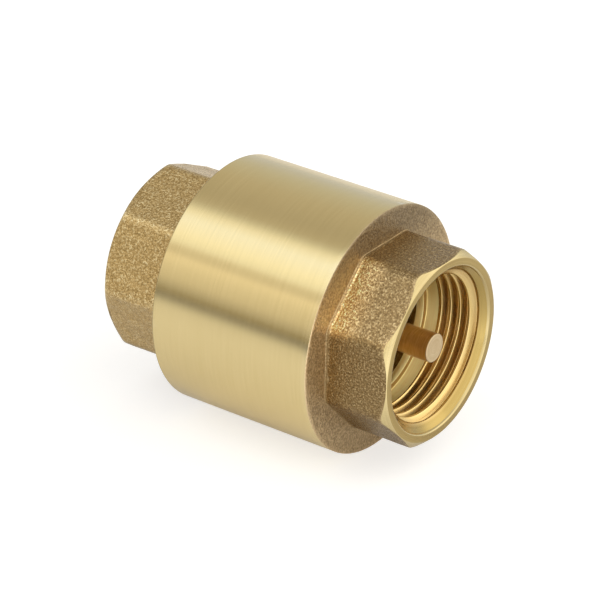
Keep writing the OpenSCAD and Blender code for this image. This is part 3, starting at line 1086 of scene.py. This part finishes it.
def lathe(bm, x0, x1, r_inner, r_outer, steps=96):
    corners = [(x0, r_inner), (x0, r_outer), (x1, r_outer), (x1, r_inner)]
    verts = [bm.verts.new((x * MM, 0, r * MM)) for x, r in corners]
    edges = [bm.edges.new((verts[i], verts[(i + 1) % 4])) for i in range(4)]
    bmesh.ops.spin(bm, geom=verts + edges, cent=(0, 0, 0), axis=(1, 0, 0),
                   angle=2 * math.pi, steps=steps, use_duplicate=False)


def build_spider():
    """Rim, hub, hub collar and three arms, fused by a voxel remesh."""
    r_rim, r_hole = 13.95, 3.2
    arm_width, arm_length, arm_middle = 2.6, 8.6, 8.2
    x0, x1 = SPIDER_X0 + 2.1, SPIDER_X1 - 1.2
    bm = bmesh.new()
    lathe(bm, x0, x1, 12.0, r_rim, steps=128)
    lathe(bm, SPIDER_X0, SPIDER_X1, r_hole, 4.3)
    lathe(bm, x0, x0 + 1, 3.6, 6.65)
    for i in range(3):
        place = Matrix.Translation(((x0 + x1) / 2 * MM, 0, arm_middle * MM))
        size = Matrix.Diagonal(((x1 - x0) * MM, arm_width * MM, arm_length * MM, 1))
        matrix = Matrix.Rotation(math.radians(120 * i), 4, "X") @ place @ size
        bmesh.ops.create_cube(bm, size=1.0, matrix=matrix)
    bmesh.ops.remove_doubles(bm, verts=bm.verts, dist=1e-7)
    bmesh.ops.recalc_face_normals(bm, faces=bm.faces)
    spider = add_object("guide_spider_pressed", bm)
    bpy.context.view_layer.objects.active = spider
    remesh = spider.modifiers.new("remesh", "REMESH")
    remesh.mode = "VOXEL"
    remesh.voxel_size = 0.24 * MM
    remesh.use_smooth_shade = True
    soften = spider.modifiers.new("smooth", "SMOOTH")
    soften.factor = 0.5
    soften.iterations = 4
    depsgraph = bpy.context.evaluated_depsgraph_get()
    mesh = bpy.data.meshes.new_from_object(spider.evaluated_get(depsgraph))
    spider.modifiers.clear()
    spider.data = mesh

    # keep the turned outside, the hub ends and the bush bore true
    points = np.array([vert.co for vert in mesh.vertices]) * 1000
    radius = np.hypot(points[:, 1], points[:, 2])
    scale = np.clip(radius, r_hole, r_rim - 0.01) / np.maximum(radius, 1e-6)
    points[:, 1] *= scale
    points[:, 2] *= scale
    points[:, 0] = np.clip(points[:, 0], SPIDER_X0, SPIDER_X1)
    mesh.vertices.foreach_set("co", (points / 1000).ravel())
    mesh.update()
    mesh.materials.append(PRESSED_BRASS)
    register(spider, "guide_spider", "housing")


# ------------------------------------------------------------------ floor


def floor_material():
    """Even grey to the camera; to other rays it darkens towards the front."""
    t = Shader("pale_floor")
    x, y, _ = t.axes
    camera_ray = t.node("ShaderNodeLightPath").outputs["Is Camera Ray"]
    # (distance forwards as a share of 0.4 m, level)
    levels = [(0.0, 1.0), (0.16, 1.0), (0.32, 0.92), (0.55, 0.60), (1.0, 0.34)]
    fall = t.ramp(t.mul(y, -1.0 / 0.4), [(share, (level,) * 3) for share, level in levels])
    pale = t.mix(1.0, fall, (0.72, 0.715, 0.71), blend="MULTIPLY")
    color = t.mix(camera_ray, pale, (0.55, 0.55, 0.55))
    diffuse = t.node("ShaderNodeBsdfDiffuse", {"Color": color})
    # a bright patch beyond the outlet, towards the front, that the camera doesn't see
    card = t.mul(t.remap(x, span=(0.022, 0.06)), t.remap(y, span=(0.01, -0.03)))
    card = t.mul(card, t.math("SUBTRACT", 1.0, camera_ray))
    to_camera = t.add(t.mul(camera_ray, 0.50), 0.12)
    outlet_side = t.remap(x, span=(0.03, 0.12), to=(0.0, 0.20))
    glow = t.node("ShaderNodeEmission", {
        "Color": t.mix(camera_ray, fall, (1.0, 1.0, 1.0)),
        "Strength": t.add(to_camera, t.add(outlet_side, t.mul(card, 0.75)))})
    both = t.node("ShaderNodeAddShader", {0: diffuse.outputs[0], 1: glow.outputs[0]})
    return t.output(both.outputs[0])


def build_floor():
    bm = bmesh.new()
    bmesh.ops.create_grid(bm, x_segments=1, y_segments=1, size=3.0)
    floor = add_object("floor", bm)
    floor.location = (0, 0, -R_BODY * MM - 0.00002)
    floor.data.materials.append(floor_material())


# ------------------------------------------------------------------ world, light, camera

COOL, EVEN = (1.0, 1.06, 1.20), (1.0, 1.0, 0.95)
WARM, AMBER = (1.0, 0.93, 0.80), (1.0, 0.89, 0.65)
WORLD_STRENGTH = 1.5
# Soft light by the angle about the flow axis, (degrees, level, tint): 0 is the back horizon,
# 90 straight up, 180 the front horizon. An overhead panel peaks from 102 to 133 and a front
# panel at 147, with dimmer gaps beside them.
SKY = [
    (-180, 0.32, AMBER), (-173, 0.46, WARM), (-160, 0.60, WARM), (-20, 0.70, EVEN),
    (4, 0.61, COOL), (28, 0.59, EVEN), (52, 0.55, WARM), (78, 0.48, WARM), (90, 0.52, WARM),
    (95, 0.66, EVEN), (102, 1.08, EVEN), (110, 1.16, COOL), (126, 1.16, EVEN),
    (133, 1.02, EVEN), (138, 0.76, WARM), (142, 0.75, WARM), (147, 0.97, WARM),
    (157, 0.81, WARM), (166, 0.72, WARM), (173, 0.53, WARM), (178, 0.34, AMBER)]


def build_world():
    world = bpy.data.worlds.new("studio")
    bpy.context.scene.world = world
    t = Nodes(world, space="Generated")
    x, y, z = t.axes
    around = t.remap(t.math("ARCTAN2", z, y), span=(-math.pi, math.pi))
    sky = t.ramp(around, [
        ((degrees + 180) / 360, tuple(level * c / WORLD_STRENGTH for c in tint))
        for degrees, level, tint in SKY])
    # a large soft panel on the outlet side
    panel = t.remap(x, span=(0.05, 0.55), interpolation="SMOOTHSTEP")
    color = t.mix(panel, sky, (1.02, 0.98, 0.89))
    light = t.node("ShaderNodeBackground", {"Color": color, "Strength": WORLD_STRENGTH})
    backdrop = t.node("ShaderNodeBackground", {"Color": (1.0, 1.0, 1.0, 1)})
    camera_ray = t.node("ShaderNodeLightPath").outputs["Is Camera Ray"]
    both = t.node("ShaderNodeMixShader", {
        0: camera_ray, 1: light.outputs[0], 2: backdrop.outputs[0]})
    t.node("ShaderNodeOutputWorld", {0: both.outputs[0]})


def build_key_light():
    """Small soft key, high behind the valve on the outlet side, aimed at the origin."""
    light = bpy.data.lights.new("key_softbox", "AREA")
    light.shape = "RECTANGLE"
    light.size, light.size_y = 0.34, 0.34
    light.energy = 0.12
    light.color = (1.0, 0.97, 0.90)
    ob = bpy.data.objects.new("key_softbox", light)
    ob.location = (0.30, 0.42, 0.32)
    ob.rotation_euler = (-Vector(ob.location)).to_track_quat("-Z", "Y").to_euler()
    bpy.context.scene.collection.objects.link(ob)


def build_camera():
    azimuth = math.radians(35.78)       # from the front towards the outlet
    elevation = math.radians(29.13)
    distance = 0.500
    rise = 0.00015                      # shift along the camera's up
    aim_x = 0.0003
    spin = Matrix.Rotation(math.radians(2.0), 3, "X")   # whole view about the flow axis
    back = Vector((math.sin(azimuth) * math.cos(elevation),
                   -math.cos(azimuth) * math.cos(elevation), math.sin(elevation)))
    right = Vector((math.cos(azimuth), math.sin(azimuth), 0))
    up = back.cross(right)
    position = spin @ (back * distance + up * rise) + Vector((aim_x, 0, 0))
    rotation = Matrix((spin @ right, spin @ up, spin @ back)).transposed()
    camera = bpy.data.cameras.new("camera")
    camera.sensor_width = 36.0
    camera.lens = 183.732
    camera.clip_start, camera.clip_end = 0.01, 20
    ob = bpy.data.objects.new("camera", camera)
    ob.matrix_world = Matrix.Translation(position) @ rotation.to_4x4()
    bpy.context.scene.collection.objects.link(ob)
    bpy.context.scene.camera = ob


# ------------------------------------------------------------------ build

build_outlet()
build_inlet()
build_stem()
build_turned_pieces()
build_split_rings()
build_nut()
build_spring()
build_spider()
build_floor()
build_world()
build_key_light()
build_camera()

view = bpy.context.scene.view_settings
view.view_transform = "Standard"
view.look = "None"
view.exposure = 0.0
view.gamma = 1.0
